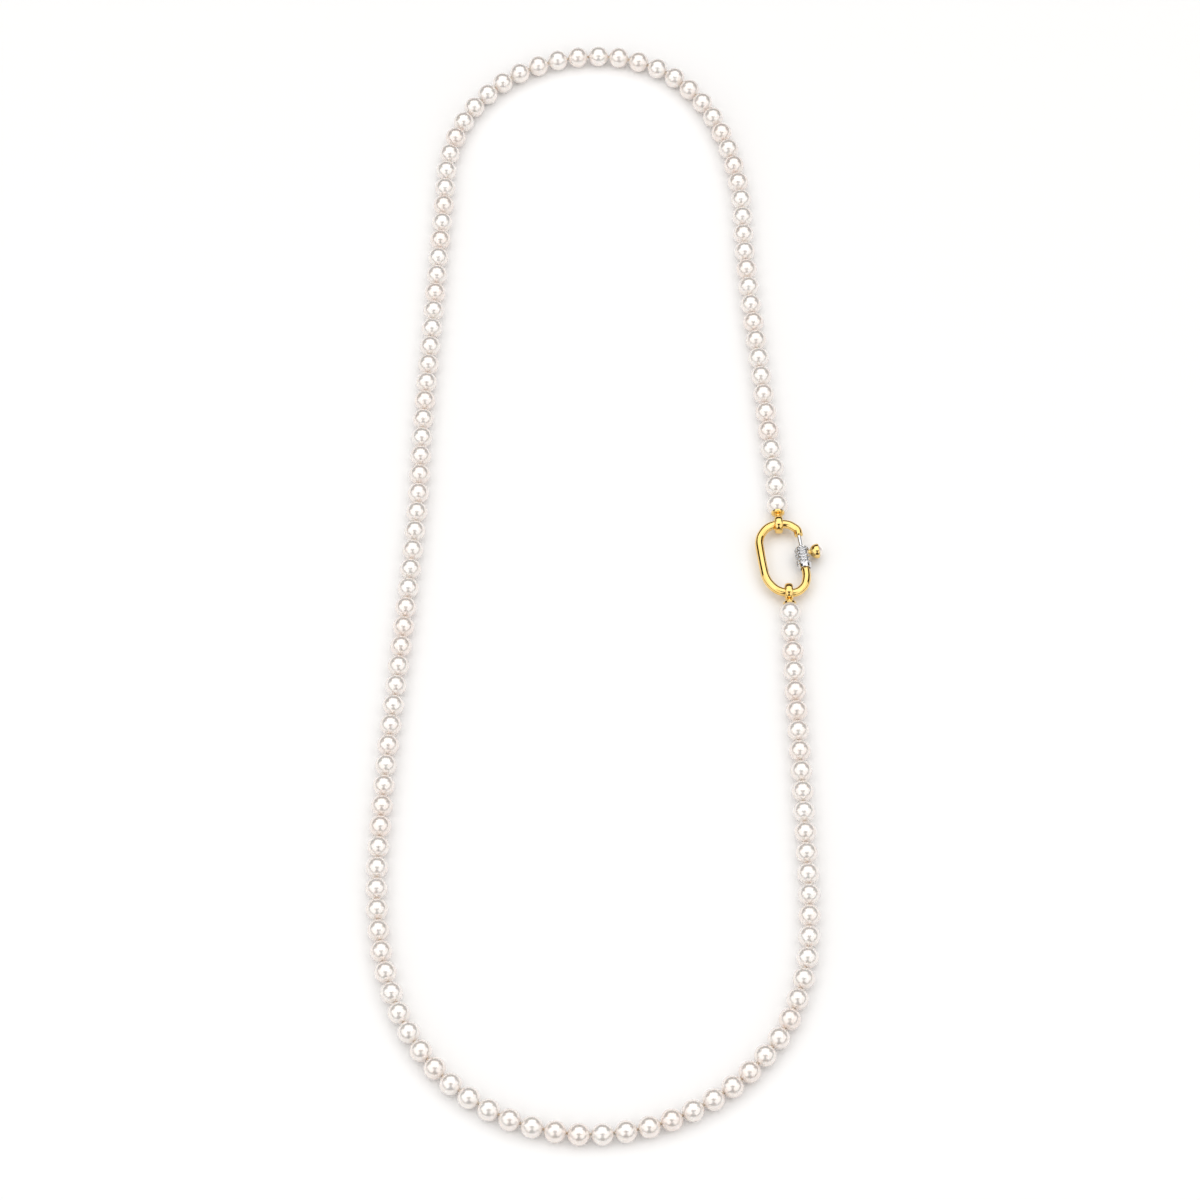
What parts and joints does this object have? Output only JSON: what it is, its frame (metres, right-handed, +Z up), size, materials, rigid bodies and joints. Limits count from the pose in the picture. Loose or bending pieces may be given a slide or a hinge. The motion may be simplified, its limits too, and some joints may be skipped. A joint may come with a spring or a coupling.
{
  "type": "pearl necklace",
  "caption": "Long single-strand pearl necklace lying flat in a loop, knotted on silk, closed by an oval gold ring clasp with a stone-set sliding barrel and a pearl thumb stud.",
  "frame": {"origin": "on the table, below the middle of the laid-out loop's box", "axes": "+Z up from the table, +Y along the loop towards its narrower end, +X across it towards the strand with the clasp"},
  "size_m": [0.1312, 0.3688, 0.0062],
  "materials": {
    "pearl": "lustrous nacre, white with a faint rose overtone",
    "silk": "twisted silk thread",
    "yellow_gold": "mirror polished yellow gold",
    "white_metal": "polished white metal",
    "clear_stone": "faceted clear stone",
    "spring_steel": "bright drawn wire"
  },
  "bodies": {
    "clasp": {"clasp_frame": "yellow_gold", "return_spring": "spring_steel", "pearls_side_left": "pearl", "silk_side_left": "silk"},
    "upper_strands_1": {"upper_bail": "yellow_gold", "upper_end_cap": "yellow_gold", "pearls_upper_right_1": "pearl", "silk_upper_right_1": "silk", "pearls_upper_left_1": "pearl", "silk_upper_left_1": "silk"},
    "upper_strands_2": {"pearls_upper_right_2": "pearl", "silk_upper_right_2": "silk", "pearls_upper_left_2": "pearl", "silk_upper_left_2": "silk"},
    "top_bight": {"pearls_top_arc": "pearl", "silk_top_arc": "silk"},
    "lower_strands_1": {"lower_bail": "yellow_gold", "lower_end_cap": "yellow_gold", "pearls_lower_right_1": "pearl", "silk_lower_right_1": "silk", "pearls_lower_left_1": "pearl", "silk_lower_left_1": "silk"},
    "lower_strands_2": {"pearls_lower_right_2": "pearl", "silk_lower_right_2": "silk", "pearls_lower_left_2": "pearl", "silk_lower_left_2": "silk"},
    "bottom_bight": {"pearls_bottom_arc": "pearl", "silk_bottom_arc": "silk"},
    "bolt": {"bolt_rod": "white_metal", "bolt_sleeve": "white_metal", "thumb_cup": "yellow_gold", "thumb_peg": "yellow_gold", "thumb_pearl": "pearl", "sleeve_stones_1": "clear_stone", "sleeve_stones_2": "clear_stone", "sleeve_stones_3": "clear_stone", "sleeve_stones_4": "clear_stone", "sleeve_stones_5": "clear_stone"}
  },
  "joints": [
    {"name": "fold_up_1", "type": "hinge", "parent": "clasp", "child": "upper_strands_1", "pos_m": [0.05286, 0.0105, 0.00313], "axis": [0.9999, -0.0101, 0], "range_deg": [-27, 27]},
    {"name": "fold_up_2", "type": "hinge", "parent": "upper_strands_1", "child": "upper_strands_2", "pos_m": [0.04957, 0.05262, 0.00313], "axis": [0.9997, 0.0226, 0], "range_deg": [-27, 27]},
    {"name": "fold_up_3", "type": "hinge", "parent": "upper_strands_2", "child": "top_bight", "pos_m": [0.04476, 0.10408, 0.00313], "axis": [0.9997, 0.0231, 0], "range_deg": [-27, 27]},
    {"name": "fold_down_1", "type": "hinge", "parent": "clasp", "child": "lower_strands_1", "pos_m": [0.05536, -0.01235, 0.00313], "axis": [-0.9999, -0.0165, 0], "range_deg": [-27, 27]},
    {"name": "fold_down_2", "type": "hinge", "parent": "lower_strands_1", "child": "lower_strands_2", "pos_m": [0.05716, -0.06103, 0.00313], "axis": [-0.9999, 0.0154, 0], "range_deg": [-27, 27]},
    {"name": "fold_down_3", "type": "hinge", "parent": "lower_strands_2", "child": "bottom_bight", "pos_m": [0.05885, -0.11269, 0.00313], "axis": [-0.9999, 0.0153, 0], "range_deg": [-27, 27]},
    {"name": "bolt_slide", "type": "slide", "parent": "clasp", "child": "bolt", "axis": [0.1513, -0.9885, 0], "range_m": [0, 0.0024], "stiffness_N_per_m": 60, "springref_m": -0.004, "deforming": ["return_spring"]}
  ]
}
